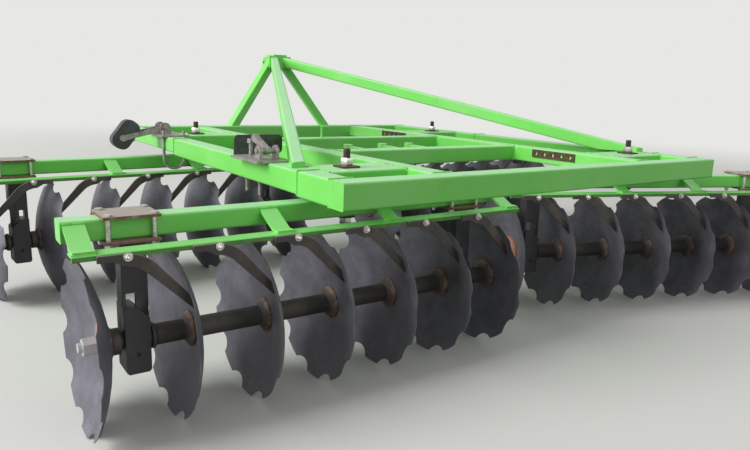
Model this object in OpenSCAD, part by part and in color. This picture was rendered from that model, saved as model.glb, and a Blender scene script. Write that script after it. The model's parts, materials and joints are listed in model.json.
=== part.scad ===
// Mounted disc harrow with four separately swivelled gangs of notched discs.
// Millimetres. X is across the machine (+X right), Y is forward, Z is up from the ground.
// The outline is worked out from the rear face of the rear beam, then shifted to the middle.

/* [Frame] */
// Width over the side beams
frame_w = 2380; // [2200:10:2600]
// Height of the frame's top above the ground
frame_top = 850; // [840:1:900]
// Height and depth of the rear and front beams
main_h = 100; // [90:1:100]
// Depth of the rear and front beams, front to back
main_d = 100; // [80:1:120]
// Width of the side beams and the inner beams
rail_w = 100; // [80:1:110]
// Height of the side beams between their weld seams
rail_h = 91; // [80:1:96]
// Height of the side beams ahead of the front weld seam
nose_h = 78; // [70:1:90]
// Rear end of the side beams' middle length
stub_y = 331; // [250:1:400]
// Front weld seam of the side beams
seam_y = 1774; // [1700:1:1850]
// Rear face of the front beam
front_y = 2785; // [2650:1:2850]
// Middle of the inner beams, from the centre plane
inner_x = 673; // [620:1:700]
// Height of the inner beams and cross beams
inner_h = 84; // [70:1:90]
// Rear face of the rear cross beam
cross_rear_y = 932; // [850:1:1000]
// Rear face of the front cross beam
cross_front_y = 1664; // [1600:1:1700]
// Corner radius of the tubes
corner_r = 9; // [4:0.5:12]

/* [Swivels] */
// Pivot bolts from the centre plane
pivot_x = 945; // [900:1:980]
// Rear pivots ahead of the rear face of the rear beam
rear_pivot_y = 370; // [350:1:400]
// Front pivots ahead of the rear face of the rear beam
front_pivot_y = 2100; // [2060:1:2140]
// Angle of the rear left gang as it parks
rear_left_angle = 0; // [-20:0.1:0]
// Angle of the rear right gang as it parks
rear_right_angle = -20; // [-20:0.1:0]
// Angle of both front gangs as they park
front_angle = 4.4; // [0:0.1:20]
// Depth of the bridges that carry the pivots, front to back
bridge_d = 220; // [180:1:240]
// Radius of the pivot bolts
bolt_r = 15; // [12:0.5:18]
// Running clearance round a pivot bolt
bolt_fit = 0.05; // [0.02:0.01:0.1]
// Radius of the round pads between a bridge and its gang beam
pad_r = 75; // [60:1:85]
// Running gap above and below a gang beam at its pivot
pad_gap = 0.3; // [0.2:0.1:1]
// Side of the square washer plates on the bridges
washer_side = 80; // [70:1:90]
// Thickness of the square washer plates
washer_t = 8; // [6:1:12]

/* [Gang beams] */
// Length of a gang beam
beam_l = 1880; // [1880:5:1900]
// Depth of a gang beam, front to back
beam_d = 90; // [80:1:96]
// Height of a gang beam
beam_h = 72; // [66:1:80]
// Drop from the frame's top to a gang beam's top
beam_drop = 121; // [121:1:130]
// Inner end of a rear gang beam from its pivot
rear_inner = 812; // [780:1:840]
// Inner end of a front gang beam from its pivot
front_inner = 650; // [620:1:680]

/* [Discs] */
// Radius of a disc
disc_r = 305; // [290:1:320]
// Depth of a disc's dish
dish = 80; // [70:1:90]
// Thickness of a disc
disc_t = 6; // [5:0.5:8]
// Radius of the flat centre of a disc
flat_r = 68; // [66:1:80]
// Discs on a gang
disc_count = 7; // [7:1:7]
// Distance between discs
disc_gap = 291; // [285:1:295]
// Rim plane of the first disc from its end of the beam
first_u = 42; // [35:1:50]
// Disc axle behind the middle of the beam
axle_back = 30; // [0:1:50]
// Notches round a disc
notch_count = 10; // [8:1:12]
// Radius of a notch
notch_r = 42; // [34:1:46]
// Centre of a notch outside the disc's rim
notch_out = 10; // [6:1:16]

/* [Axles] */
// Side of the square shaft through the discs
shaft_side = 38; // [34:1:40]
// Radius of a spool's tube
spool_r = 37.5; // [34:0.5:44]
// Radius of a spool's flared ends
flare_r = 64; // [55:1:65]
// Length of a spool's flare
flare_l = 26; // [18:1:30]
// Radius of the journals inside the bearing housings
journal_r = 30; // [28:0.5:32]
// Running clearance round a journal
journal_fit = 0.05; // [0.02:0.01:0.1]
// Radius of the dished end washer
end_washer_r = 82.5; // [76:0.5:86]
// Width across flats of the axle nuts
nut_af = 55; // [50:1:60]

/* [Hangers] */
// Middle of a hanger from the back of the disc before it
hanger_in = 92; // [80:1:190]
// Width of a hanger post
post_w = 120; // [110:1:130]
// Depth of a hanger post, front to back
post_d = 60; // [50:1:70]
// Width of a hanger's legs beside its window
leg_w = 38; // [34:1:44]
// Top of the window above the ground
window_top = 476; // [465:1:490]
// Top of a bearing housing above the axle
housing_up = 124; // [115:1:130]
// Bottom of a bearing housing below the axle
housing_down = 109; // [100:1:120]
// Width of a bearing housing along the axle
housing_w = 100; // [90:1:106]
// Depth of a bearing housing, front to back
housing_d = 104; // [96:1:112]
// Width of a clamp plate along the beam
clamp_w = 182; // [170:1:190]
// Depth of a clamp plate, front to back
clamp_d = 160; // [154:1:170]
// Thickness of a clamp plate
clamp_t = 10; // [8:0.5:10]
// Radius of the clamp bolts
clamp_bolt_r = 8; // [7:0.5:9]

/* [Scrapers] */
// Top of the scraper bar above the ground
bar_top = 654; // [648:1:656]
// Rear face of the scraper bar behind the middle of the beam
bar_back = 200; // [190:1:215]
// Width of the scraper bar's top flange
bar_w = 65; // [55:1:75]
// Height of the scraper bar's rear flange
bar_lip = 30; // [26:1:40]
// Thickness of the scraper bar
bar_t = 6; // [5:0.5:8]
// Width of the straps that carry the scraper bar
strap_w = 65; // [50:1:70]
// Thickness of the straps
strap_t = 10; // [8:0.5:12]
// First scraper bolt from the first disc's end of the beam
scraper_u = 159; // [150:1:170]
// Clearance between a scraper's tip and its disc
scraper_gap = 6; // [5:0.5:10]
// Height of the middle of a scraper's tip above the axle
scraper_up = 160; // [145:1:185]
// Width of a scraper's arm
scraper_w = 46; // [40:1:55]
// Height of a scraper's cut end
scraper_end = 60; // [50:1:66]
// Slope of a scraper's arm
scraper_slope = 46; // [40:1:50]
// Radius of a scraper's bend at its middle line
scraper_bend = 115; // [90:1:140]
// Length of a scraper's plate behind its bolt
scraper_tail = 90; // [70:1:100]
// Thickness of a scraper
scraper_t = 8; // [6:0.5:10]

/* [Hitch] */
// Feet of the tower legs from the centre plane
tower_foot_x = 397; // [350:1:450]
// Height of the top link bore above the frame's top
top_link_up = 484; // [470:1:500]
// Top link bore ahead of the front beam's rear face
top_link_fore = 231; // [220:1:260]
// Radius of the top link bore
top_link_r = 12.85; // [12.8:0.05:13.5]
// Free width between the top link plates
top_link_gap = 60; // [54:1:70]
// Thickness of the hitch plates
hitch_t = 15; // [12:1:20]
// Radius of the rounded ends of the top link plates
head_r = 44; // [38:1:48]
// Middle of a lower hitch point from the centre plane
lower_x = 412; // [400:1:435]
// Lower hitch pins below the frame's top
lower_drop = 120; // [110:1:150]
// Lower hitch pins ahead of the front beam's rear face
lower_fore = 175; // [165:1:195]
// Radius of the lower hitch pins
lower_pin_r = 14; // [13.5:0.1:14.4]
// Free length of a lower hitch pin, outside its plates
lower_free = 90; // [80:1:100]
// Free width between the two plates that carry a lower hitch pin
lower_plate_gap = 50; // [40:1:60]
// Width of the tower's braces
brace_w = 55; // [50:1:70]
// Height of the tower's braces
brace_h = 70; // [60:1:80]

/* [Side brackets] */
// Middle of the front bracket's stirrup ahead of the rear face of the rear beam
stirrup_y = 1925; // [1915:1:1935]
// Radius of the stirrup's rod
stirrup_r = 8; // [6:0.5:10]
// Bottom of the stirrup's bend below the frame's top
stirrup_drop = 182; // [170:1:190]
// Thickness of the brackets' base plates
saddle_t = 10; // [8:1:12]
// Length of the front bracket's base plate
saddle_l = 300; // [250:1:320]
// Overhang of the front bracket's base plate on each side of the beam
saddle_over = 30; // [24:1:40]
// Pin of the front bracket's arms, inwards from the side beam's outer face
arm_pin_in = 25; // [10:1:40]
// Pin of the front bracket's arms above the frame's top
arm_pin_up = 44; // [40:1:60]
// Reach of the front bracket's arms outwards
arm_reach = 235; // [200:1:250]
// Fall of the front bracket's arms over their reach
arm_fall = 56; // [40:1:58]
// Width of the front bracket's arms
arm_w = 28; // [20:1:34]
// Length of the rear bracket's base plate
base_l = 265; // [240:1:285]
// Width of the rear bracket's base plate
base_w = 140; // [120:1:160]
// Rear edge of the rear bracket's base plate
base_y = 580; // [575:1:600]
// Width of the flap behind the rear bracket
flap_w = 240; // [200:1:260]
// Height of the flap behind the rear bracket
flap_h = 88; // [70:1:110]
// Ahead of the rear beam's rear face, the flap's rear face
flap_y = 936; // [900:1:960]

/* [Hidden] */

$fn = 64;
far = 6000;
lime = "#74d65a";
dark_steel = "#3a3f45";
rust = "#7a4a34";
zinc = "#b9b9ae";
grey = "#8b8f92";

// Frame levels and faces worked out from the sizes above
side_x = frame_w / 2;
rail_in = side_x - rail_w;
inner_in = inner_x - rail_w / 2;
inner_out = inner_x + rail_w / 2;
front_face = front_y + main_d;

// Gang levels
beam_top = frame_top - beam_drop;
beam_bottom = beam_top - beam_h;
axle_v = -axle_back;
axle_z = disc_r;

// Disc sphere: its radius, and how far the surface falls at a radius r from the axle
ball_r = (disc_r * disc_r + dish * dish) / (2 * dish);
function sag(r) = ball_r - sqrt(ball_r * ball_r - r * r);
seat = dish - sag(flat_r);
function disc_u(k) = first_u + k * disc_gap;

// Hangers stand by the first and the last spool: their middles along the beam
HANGERS = [disc_u(0) + seat + hanger_in, disc_u(disc_count - 2) + seat + hanger_in];

// Gangs: name, side of the pivot (-1 left), pivot y, rest angle,
// hand (1: first disc at the left end, -1: at the right end), pivot from the first disc's end
GANGS = [
  ["rear_left", -1, rear_pivot_y, rear_left_angle, 1, beam_l - rear_inner],
  ["rear_right", 1, rear_pivot_y, rear_right_angle, 1, rear_inner],
  ["front_left", -1, front_pivot_y, front_angle, -1, front_inner],
  ["front_right", 1, front_pivot_y, front_angle, -1, beam_l - front_inner]];

// The swivelled rear right gang reaches furthest back, the top link plates furthest forward
last_disc_reach = disc_u(disc_count - 1) - rear_inner;
rear_end = rear_pivot_y + last_disc_reach * sin(rear_right_angle)
  - (disc_r + axle_back) * cos(rear_right_angle);
front_end = front_y + top_link_fore + head_r;
middle_y = (rear_end + front_end) / 2;

module placed() {
  translate([0, -middle_y, 0]) children();
}

module both_sides() {
  children();
  mirror([1, 0, 0]) children();
}

// Rectangle with rounded corners, from its lower left corner
module rounded(w, h, r) {
  translate([r, 0]) square([w - 2 * r, h]);
  translate([0, r]) square([w, h - 2 * r]);
  for (x = [r, w - r], y = [r, h - r]) translate([x, y]) circle(r = r, $fn = 32);
}

// Tube across the machine, from x0 to x1, its rear face at y and its top at z
module tube_x(x0, x1, y, d, z, h) {
  translate([x0, y, z - h]) rotate([90, 0, 90]) linear_extrude(x1 - x0) rounded(d, h, corner_r);
}

// Tube along the machine, from y0 to y1, its left face at x and its top at z
module tube_y(y0, y1, x, w, z, h) {
  translate([x, y1, z - h]) rotate([90, 0, 0]) linear_extrude(y1 - y0) rounded(w, h, corner_r);
}

// Tube from point a towards point b and past both by extra, w wide and h deep
module strut(a, b, w, h, extra) {
  d = b - a;
  len = norm(d);
  translate(a) rotate([0, acos(d.z / len), atan2(d.y, d.x)]) translate([-h / 2, -w / 2, -extra])
    linear_extrude(len + 2 * extra) rounded(h, w, corner_r);
}

// Profile drawn in y and z, t thick from x
module plate_x(x, t) {
  translate([x, 0, 0]) rotate([90, 0, 90]) linear_extrude(t) children();
}

// Profile drawn in x and z, t thick from y
module plate_y(y, t) {
  translate([0, y + t, 0]) rotate([90, 0, 0]) linear_extrude(t) children();
}

module hex_nut(af, h) {
  cylinder(r = af / sqrt(3), h = h, $fn = 6);
}

module rear_beam() {
  color(lime) placed() tube_x(-side_x, side_x, 0, main_d, frame_top, main_h);
}

module front_beam() {
  color(lime) placed() tube_x(-side_x, side_x, front_y, main_d, frame_top, main_h);
}

module side_beam() {
  tube_y(main_d, stub_y, rail_in, rail_w, frame_top, main_h);
  tube_y(stub_y, seam_y, rail_in, rail_w, frame_top, rail_h);
  tube_y(seam_y, front_y, rail_in, rail_w, frame_top, nose_h);
}

module side_beam_left() {
  color(lime) placed() mirror([1, 0, 0]) side_beam();
}

module side_beam_right() {
  color(lime) placed() side_beam();
}

module inner_beam() {
  tube_y(main_d, front_y, inner_in, rail_w, frame_top, inner_h);
}

module inner_beam_left() {
  color(lime) placed() mirror([1, 0, 0]) inner_beam();
}

module inner_beam_right() {
  color(lime) placed() inner_beam();
}

// Lugs on the rear cross beam: their places across the machine
LUG_X = [-420, -190, 0];
lug_w = 26;
lug_h = 30;
lug_reach = 172;

module cross_beam_rear() {
  color(lime) placed() {
    tube_x(-inner_in, inner_in, cross_rear_y, rail_w, frame_top, inner_h);
    for (x = LUG_X) {
      translate([x - lug_w / 2, cross_rear_y + rail_w, frame_top - lug_h])
        cube([lug_w, lug_reach, lug_h]);
      translate([x, cross_rear_y + rail_w + lug_reach - lug_w, frame_top - lug_h])
        cylinder(r = lug_w, h = lug_h + 8);
    }
  }
}

hook_x = -275;
hook_h = 65;
hook_arm = 55;
hook_t = 16;

module cross_beam_front() {
  color(lime) placed() {
    tube_x(-inner_in, inner_in, cross_front_y, rail_w, frame_top, inner_h);
    translate([hook_x, cross_front_y + rail_w / 2, frame_top - 1]) cylinder(r = hook_t / 2, h = hook_h + 1);
    translate([hook_x, cross_front_y + rail_w / 2, frame_top + hook_h]) rotate([0, 90, 0])
      cylinder(r = hook_t / 2, h = hook_arm);
    translate([hook_x, cross_front_y + rail_w / 2, frame_top + hook_h]) sphere(r = hook_t / 2);
  }
}

// Wide short box between a side beam and an inner beam, with the round pad that the gang turns on
module pivot_bridge(y) {
  difference() {
    union() {
      tube_x(inner_out, rail_in, y - bridge_d / 2, bridge_d, frame_top, rail_h - 1);
      translate([pivot_x, y, beam_top + pad_gap]) cylinder(r = pad_r, h = frame_top - rail_h - beam_top + 5);
    }
    translate([pivot_x, y, 0]) cylinder(r = bolt_r + 0.2, h = far);
  }
}

module pivot_bridges() {
  color(lime) placed() both_sides() for (y = [rear_pivot_y, front_pivot_y]) pivot_bridge(y);
}

pivot_nut_af = 46;
pivot_nut_h = 31;
pivot_thread = 37;

// Bolt through a bridge and its gang beam, with the plate and nut above and the washer and nut below
module pivot_bolt() {
  under = beam_bottom - pad_gap;
  bolt_foot = under - washer_t - pivot_nut_h - 8;
  bolt_end = frame_top + washer_t + pivot_nut_h + pivot_thread;
  translate([0, 0, bolt_foot]) cylinder(r = bolt_r, h = bolt_end - bolt_foot);
  translate([-washer_side / 2, -washer_side / 2, frame_top]) cube([washer_side, washer_side, washer_t]);
  translate([0, 0, frame_top + washer_t]) hex_nut(pivot_nut_af, pivot_nut_h);
  translate([0, 0, under - washer_t]) cylinder(r = washer_side / 2, h = washer_t);
  translate([0, 0, under - washer_t - pivot_nut_h]) hex_nut(pivot_nut_af, pivot_nut_h);
}

module pivot_bolts() {
  color(zinc) placed() both_sides() for (y = [rear_pivot_y, front_pivot_y])
    translate([pivot_x, y, 0]) pivot_bolt();
}

// Perforated strips on the inner beams: first edge and length along the machine
RACKS = [[476, 304], [2016, 293]];
rack_h = 45;
rack_t = 8;
rack_holes = 5;
rack_hole_r = 11;

module angle_rack(y, len) {
  pitch = len / rack_holes;
  plate_x(inner_in - rack_t, rack_t) difference() {
    translate([y, frame_top - 6 - rack_h]) square([len, rack_h]);
    for (k = [0 : rack_holes - 1])
      translate([y + (k + 0.5) * pitch, frame_top - 6 - rack_h / 2]) circle(r = rack_hole_r, $fn = 24);
  }
}

module angle_racks() {
  color(rust) placed() both_sides() for (r = RACKS) angle_rack(r[0], r[1]);
}

// Tower: the levels of its head plates, and the spare length of its struts before they are cut
spare = 200;
head_z = frame_top + top_link_up;
head_bottom = head_z - head_r;
head_top = head_z + head_r;
head_rear = front_y + 65;
head_y = front_y + top_link_fore;
plate_in = top_link_gap / 2;
plate_out = plate_in + hitch_t;
leg_x = 60;
leg_y = 70;
back_plate_t = 12;
back_plate_w = 180;
boss_r = 28;
boss_h = 10;
cap_l = 120;

module tower_leg() {
  intersection() {
    strut([tower_foot_x, front_y + main_d / 2, frame_top], [plate_out, front_y + 120, head_z],
      leg_y, leg_x, spare);
    translate([plate_out, front_y, frame_top]) cube([far, far, head_top - frame_top]);
  }
}

module tower_legs() {
  color(lime) placed() both_sides() tower_leg();
}

brace_foot_y = 478;
brace_end_y = 418;

module tower_brace() {
  intersection() {
    strut([side_x - 80, brace_foot_y, frame_top], [50, head_rear - back_plate_t, head_z],
      brace_w, brace_h, spare);
    translate([0, brace_end_y, frame_top])
      cube([far, head_rear - back_plate_t - brace_end_y, far]);
  }
}

module tower_braces() {
  color(lime) placed() both_sides() tower_brace();
}

module head_profile() {
  translate([head_rear, head_bottom]) square([head_y - head_rear, 2 * head_r]);
  translate([head_y, head_z]) circle(r = head_r);
}

module top_link_head() {
  color(lime) placed() difference() {
    union() {
      both_sides() {
        plate_x(plate_in, hitch_t) head_profile();
        translate([plate_out, head_y, head_z]) rotate([0, 90, 0]) cylinder(r = boss_r, h = boss_h);
      }
      translate([-back_plate_w / 2, head_rear - back_plate_t, head_bottom])
        cube([back_plate_w, back_plate_t, 2 * head_r]);
      translate([-plate_out - boss_h, head_rear - back_plate_t, head_top])
        cube([2 * plate_out + 2 * boss_h, cap_l, back_plate_t]);
    }
    translate([-far / 2, head_y, head_z]) rotate([0, 90, 0]) cylinder(r = top_link_r, h = far);
  }
}

lower_y = front_y + lower_fore;
lower_z = frame_top - lower_drop;
lower_r = 42;

module lower_plate_profile() {
  translate([front_face, lower_z - lower_r]) square([lower_y - front_face, 2 * lower_r]);
  translate([lower_y, lower_z]) circle(r = lower_r);
  polygon([[front_face, lower_z], [lower_y, lower_z + lower_r], [front_face + 30, frame_top - 10],
    [front_face, frame_top - 10]]);
}

lower_pin_head = 12;

// Two plates a side with a pin through both, its free end outboard of them
module lower_hitch() {
  outer = lower_x - lower_free / 2 - hitch_t;
  inner = outer - lower_plate_gap - hitch_t;
  color(lime) placed() both_sides() {
    for (x = [inner, outer]) plate_x(x, hitch_t) lower_plate_profile();
    translate([inner - lower_pin_head, lower_y, lower_z]) rotate([0, 90, 0])
      cylinder(r = lower_pin_r, h = lower_x + lower_free / 2 - inner + lower_pin_head);
  }
}

// Bracket on the left side beam over the front gang: base plate, stirrup below,
// and a clevis whose two arms carry a rounded block outside the beam
block_w = 104;
block_h = 176;
block_r = 44;
block_lean = 38;
block_t = 66;
arm_t = 10;
arm_eye_r = 18;
ear_t = 12;
ear_w = 64;
arm_pin_r = 11;
arm_pin_x = side_x - arm_pin_in;

module stirrup(y) {
  leg_at = side_x - rail_w / 2;
  half = rail_w / 2 + stirrup_r;
  bottom = frame_top - stirrup_drop + half;
  translate([-leg_at, y, bottom]) rotate([90, 0, 0]) rotate([0, 0, 180])
    rotate_extrude(angle = 180) translate([half, 0]) circle(r = stirrup_r, $fn = 24);
  for (s = [-1, 1]) translate([-leg_at + s * half, y, bottom])
    cylinder(r = stirrup_r, h = frame_top + saddle_t + 24 - bottom, $fn = 24);
}

// Ear standing on a base plate, with its rounded end round a pin up above it
module ear_profile(w, up) {
  translate([-w / 2, 0]) square([w, up]);
  translate([0, up]) circle(r = w / 2);
}

// Flat arm from its pin to the block
module arm_profile() {
  len = norm([arm_reach, arm_fall]);
  rotate(atan2(-arm_fall, arm_reach)) translate([0, -arm_w / 2]) square([len, arm_w]);
  circle(r = arm_eye_r);
  translate([arm_reach, -arm_fall]) circle(r = arm_eye_r);
}

// Front bracket above the beam, drawn on the right and mirrored to the left; y is its clevis middle
module front_clevis(y) {
  pin_z = frame_top + arm_pin_up;
  half = block_t / 2;
  for (near = [y - half - arm_t, y + half]) translate([arm_pin_x, 0, pin_z])
    plate_y(near, arm_t) arm_profile();
  for (near = [y - half - arm_t - ear_t, y + half + arm_t])
    translate([arm_pin_x, 0, frame_top + saddle_t - 1])
      plate_y(near, ear_t) ear_profile(ear_w, arm_pin_up - saddle_t + 1);
  translate([arm_pin_x, y + half + arm_t + ear_t + 8, pin_z]) rotate([90, 0, 0])
    cylinder(r = arm_pin_r, h = block_t + 2 * arm_t + 2 * ear_t + 16);
  translate([arm_pin_x + arm_reach - 12, 0, pin_z - arm_fall + 10]) plate_y(y - half, block_t)
    rotate(block_lean) translate([-block_w / 2, -block_h / 2 + 12]) rounded(block_w, block_h, block_r);
}

module side_bracket_front() {
  color(grey) placed() {
    difference() {
      translate([-side_x - saddle_over, stirrup_y - 35, frame_top])
        cube([rail_w + 2 * saddle_over, saddle_l, saddle_t]);
      for (s = [-1, 1]) translate([-side_x + rail_w / 2 + s * (rail_w / 2 + stirrup_r), stirrup_y, 0])
        cylinder(r = stirrup_r - 0.5, h = far, $fn = 24);
    }
    stirrup(stirrup_y);
    mirror([1, 0, 0]) front_clevis(stirrup_y + 120);
  }
}

// Bracket on the left side beam behind the middle: base with ears, a cranked latch and its bolt,
// two studs through the beam and the upright flap behind
latch_r = 16;
latch_y = 640;
latch_up = 36;
latch_x = side_x - 25;
latch_run = 110;
latch_rise = 44;
post_r = 9;
post_up = 66;
post_at_y = 800;
stud_drop = 160;
STUD_Y = [762, 897];
flap_t = 8;
flap_r = 22;

module latch_profile() {
  len = norm([latch_run, latch_rise]);
  rotate(atan2(latch_rise, latch_run)) translate([0, -latch_r * 0.7]) square([len, latch_r * 1.4]);
  circle(r = latch_r);
  translate([latch_run, latch_rise]) circle(r = latch_r);
}

module side_bracket_rear() {
  base_top = frame_top + saddle_t;
  color(grey) placed() mirror([1, 0, 0]) {
    translate([side_x + 50 - base_w, base_y, frame_top]) cube([base_w, base_l, saddle_t]);
    for (x = [latch_x - 44, latch_x + 32]) plate_x(x, ear_t) translate([latch_y, base_top - 1])
      ear_profile(46, latch_up + 1);
    translate([latch_x - 52, latch_y, base_top + latch_up]) rotate([0, 90, 0])
      cylinder(r = arm_pin_r, h = 104);
    plate_x(latch_x - 13, 26) translate([latch_y, base_top + latch_up]) latch_profile();
    translate([latch_x, post_at_y, base_top - 1]) cylinder(r = post_r, h = post_up);
    translate([latch_x, post_at_y, base_top + post_up - 12]) hex_nut(30, 18);
    for (y = STUD_Y) translate([side_x - rail_w / 2, y, 0]) {
      translate([0, 0, frame_top - stud_drop]) cylinder(r = stirrup_r, h = stud_drop - rail_h);
      translate([0, 0, frame_top - rail_h - 14]) hex_nut(24, 14);
    }
    plate_y(flap_y, flap_t) translate([side_x - 5 - flap_w, frame_top]) {
      rounded(flap_w, flap_h, flap_r);
      translate([flap_w - rail_w + 5, 0]) square([rail_w - 5, flap_r]);
    }
  }
}

// Puts a gang's own frame in place: x along the beam from the first disc's end, y forward
module at_gang(i) {
  g = GANGS[i];
  placed() translate([g[1] * pivot_x, g[2], 0]) rotate(g[3]) {
    if (g[4] > 0) translate([-g[5], 0, 0]) children();
    else mirror([1, 0, 0]) translate([-g[5], 0, 0]) children();
  }
}

module gang_beam(i) {
  color(lime) at_gang(i) difference() {
    tube_x(0, beam_l, -beam_d / 2, beam_d, beam_top, beam_h);
    translate([GANGS[i][5], 0, 0]) cylinder(r = bolt_r + bolt_fit, h = far);
  }
}

// Straps that carry the scraper bar: their middles along the beam
STRAPS = [39, 702, 1187, beam_l - 39];
strap_reach = 50;

// Strip bent flat on the bar and rising to the beam's rear face
module strap_profile() {
  back = -beam_d / 2;
  polygon([[back, beam_top - corner_r], [back, beam_top - corner_r - 1.3 * strap_t],
    [-bar_back + strap_reach, bar_top], [-bar_back + 8, bar_top], [-bar_back + 8, bar_top + strap_t],
    [-bar_back + strap_reach - 4, bar_top + strap_t]]);
}

module scraper_bar(i) {
  color(lime) at_gang(i) {
    translate([2, -bar_back, bar_top - bar_t]) cube([beam_l - 4, bar_w, bar_t]);
    translate([2, -bar_back, bar_top - bar_lip]) cube([beam_l - 4, bar_t, bar_lip]);
    for (u = STRAPS) plate_x(u - strap_w / 2, strap_w) strap_profile();
  }
}

// Hollow face of the next disc, less the clearance, at a height above the axle on a scraper's far face
function scraper_limit(up) = disc_u(1) + dish - sag(norm([bar_back + scraper_t - axle_back, up]))
  - disc_t - scraper_gap - scraper_u;

// Scraper cut from plate: a tail under its bolt, a bend, and an arm whose end follows the disc's hollow
module scraper() {
  mid_z = bar_top - 4 - scraper_w / 2;
  tip_z = axle_z + scraper_up;
  half = scraper_end / 2;
  turn_x = scraper_bend * sin(scraper_slope);
  turn_z = scraper_bend * (1 - cos(scraper_slope));
  bend_u = scraper_limit(scraper_up) - turn_x - (mid_z - tip_z - turn_z) / tan(scraper_slope);
  inner = scraper_bend - scraper_w / 2;
  outer = scraper_bend + scraper_w / 2;
  plate_y(-bar_back - scraper_t, scraper_t) {
    translate([-scraper_tail, mid_z - scraper_w / 2]) square([bend_u + scraper_tail, scraper_w]);
    translate([bend_u, mid_z - scraper_bend]) intersection() {
      difference() {
        circle(r = outer, $fn = 96);
        circle(r = inner, $fn = 96);
      }
      polygon([[0, 0], [0, 2 * outer], [2 * outer * tan(scraper_slope), 2 * outer]]);
    }
    polygon([
      [bend_u + outer * sin(scraper_slope), mid_z - scraper_bend + outer * cos(scraper_slope)],
      [scraper_limit(scraper_up + half), tip_z + half],
      [scraper_limit(scraper_up - half), tip_z - half],
      [bend_u + inner * sin(scraper_slope), mid_z - scraper_bend + inner * cos(scraper_slope)]]);
  }
}

module scrapers(i) {
  color(dark_steel) at_gang(i) for (k = [0 : disc_count - 2])
    translate([scraper_u + k * disc_gap, 0, 0]) scraper();
}

bolt_u = clamp_w / 2 - 18;
bolt_v = beam_d / 2 + clamp_bolt_r + 9;
clamp_head_h = 6;
clamp_nut_af = 24;
clamp_nut_h = 13;
clamp_end = 24;

module clamp() {
  translate([-clamp_w / 2, -clamp_d / 2, beam_top]) cube([clamp_w, clamp_d, clamp_t]);
  for (u = [-bolt_u, bolt_u], v = [-bolt_v, bolt_v]) translate([u, v, 0]) {
    translate([0, 0, beam_top + clamp_t]) rotate(30) hex_nut(clamp_nut_af, clamp_head_h);
    translate([0, 0, beam_bottom - clamp_t - clamp_end])
      cylinder(r = clamp_bolt_r, h = beam_h + clamp_t + clamp_end + 1, $fn = 24);
    translate([0, 0, beam_bottom - clamp_t - clamp_nut_h]) rotate(30) hex_nut(clamp_nut_af, clamp_nut_h);
  }
}

module clamps(i) {
  color(rust) at_gang(i) for (u = HANGERS) translate([u, 0, 0]) clamp();
}

// Post with a window at its foot, and the bearing housing with chamfered shoulders below
module hanger() {
  housing_top = axle_z + housing_up;
  difference() {
    union() {
      difference() {
        translate([-clamp_w / 2, -clamp_d / 2, beam_bottom - clamp_t]) cube([clamp_w, clamp_d, clamp_t]);
        for (u = [-bolt_u, bolt_u], v = [-bolt_v, bolt_v])
          translate([u, v, 0]) cylinder(r = clamp_bolt_r + 0.3, h = far, $fn = 24);
      }
      difference() {
        translate([-post_w / 2, axle_v - post_d / 2, housing_top - 1])
          cube([post_w, post_d, beam_bottom - clamp_t - housing_top + 1.5]);
        translate([-post_w / 2 + leg_w, -far / 2, housing_top])
          cube([post_w - 2 * leg_w, far, window_top - housing_top]);
      }
      plate_y(axle_v - housing_d / 2, housing_d) polygon([
        [-housing_w / 2, axle_z - housing_down + 20], [-housing_w / 2 + 20, axle_z - housing_down],
        [housing_w / 2 - 20, axle_z - housing_down], [housing_w / 2, axle_z - housing_down + 20],
        [housing_w / 2, housing_top - 24], [post_w / 2, housing_top],
        [-post_w / 2, housing_top], [-housing_w / 2, housing_top - 24]]);
    }
    translate([-far / 2, axle_v, axle_z]) rotate([0, 90, 0])
      cylinder(r = journal_r + journal_fit, h = far);
  }
}

module hangers(i) {
  color(dark_steel) at_gang(i) for (u = HANGERS) translate([u, 0, 0]) hanger();
}

// Disc with its hollow face down and its rim plane at z = 0
module disc_profile() {
  intersection() {
    translate([0, dish - ball_r]) difference() {
      circle(r = ball_r, $fn = 360);
      circle(r = ball_r - disc_t, $fn = 360);
    }
    translate([flat_r - 2, -20]) square([disc_r - flat_r + 2, dish + 20]);
  }
  translate([1, seat - disc_t]) square([flat_r, disc_t]);
}

module disc() {
  difference() {
    rotate_extrude($fn = 96) disc_profile();
    for (k = [0 : notch_count - 1]) rotate((k + 0.5) * 360 / notch_count)
      translate([disc_r + notch_out, 0, -dish]) cylinder(r = notch_r, h = 3 * dish, $fn = 48);
    translate([-shaft_side / 2 - 0.3, -shaft_side / 2 - 0.3, 0])
      cube([shaft_side + 0.6, shaft_side + 0.6, 2 * dish]);
  }
}

module discs(i) {
  color(dark_steel) at_gang(i) for (k = [0 : disc_count - 1])
    translate([disc_u(k), axle_v, axle_z]) rotate([0, 90, 0]) disc();
}

// Spool profile of length len: radius outwards, flared at both ends
module spool_profile(len) {
  polygon([[0, 0], [flare_r, 0], [flare_r, 6], [spool_r, flare_l], [spool_r, len - flare_l],
    [flare_r, len - 6], [flare_r, len], [0, len]]);
}

// Bearing spool: its journal between a and b turns in the housing
module bearing_profile(len, a, b) {
  collar = spool_r + 8;
  polygon([[0, 0], [flare_r, 0], [flare_r, 6], [collar, 16], [collar, a], [journal_r, a],
    [journal_r, b], [collar, b], [collar, b + 10], [spool_r, b + 18], [spool_r, len - flare_l],
    [flare_r, len - 6], [flare_r, len], [0, len]]);
}

washer_depth = 20;
nut_h = 30;
lock_nut_h = 18;
thread_out = 14;
thread_r = 17;
end_plate_t = 12;

module end_washer_profile() {
  polygon([[0, 0], [flat_r - 4, 0], [end_washer_r, -4], [end_washer_r, -9],
    [end_washer_r - 36, -washer_depth], [0, -washer_depth]]);
}

seat_gap = 0.01;
spool_l = disc_gap - disc_t - 2 * seat_gap;
bearing_gap = 2;

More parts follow.
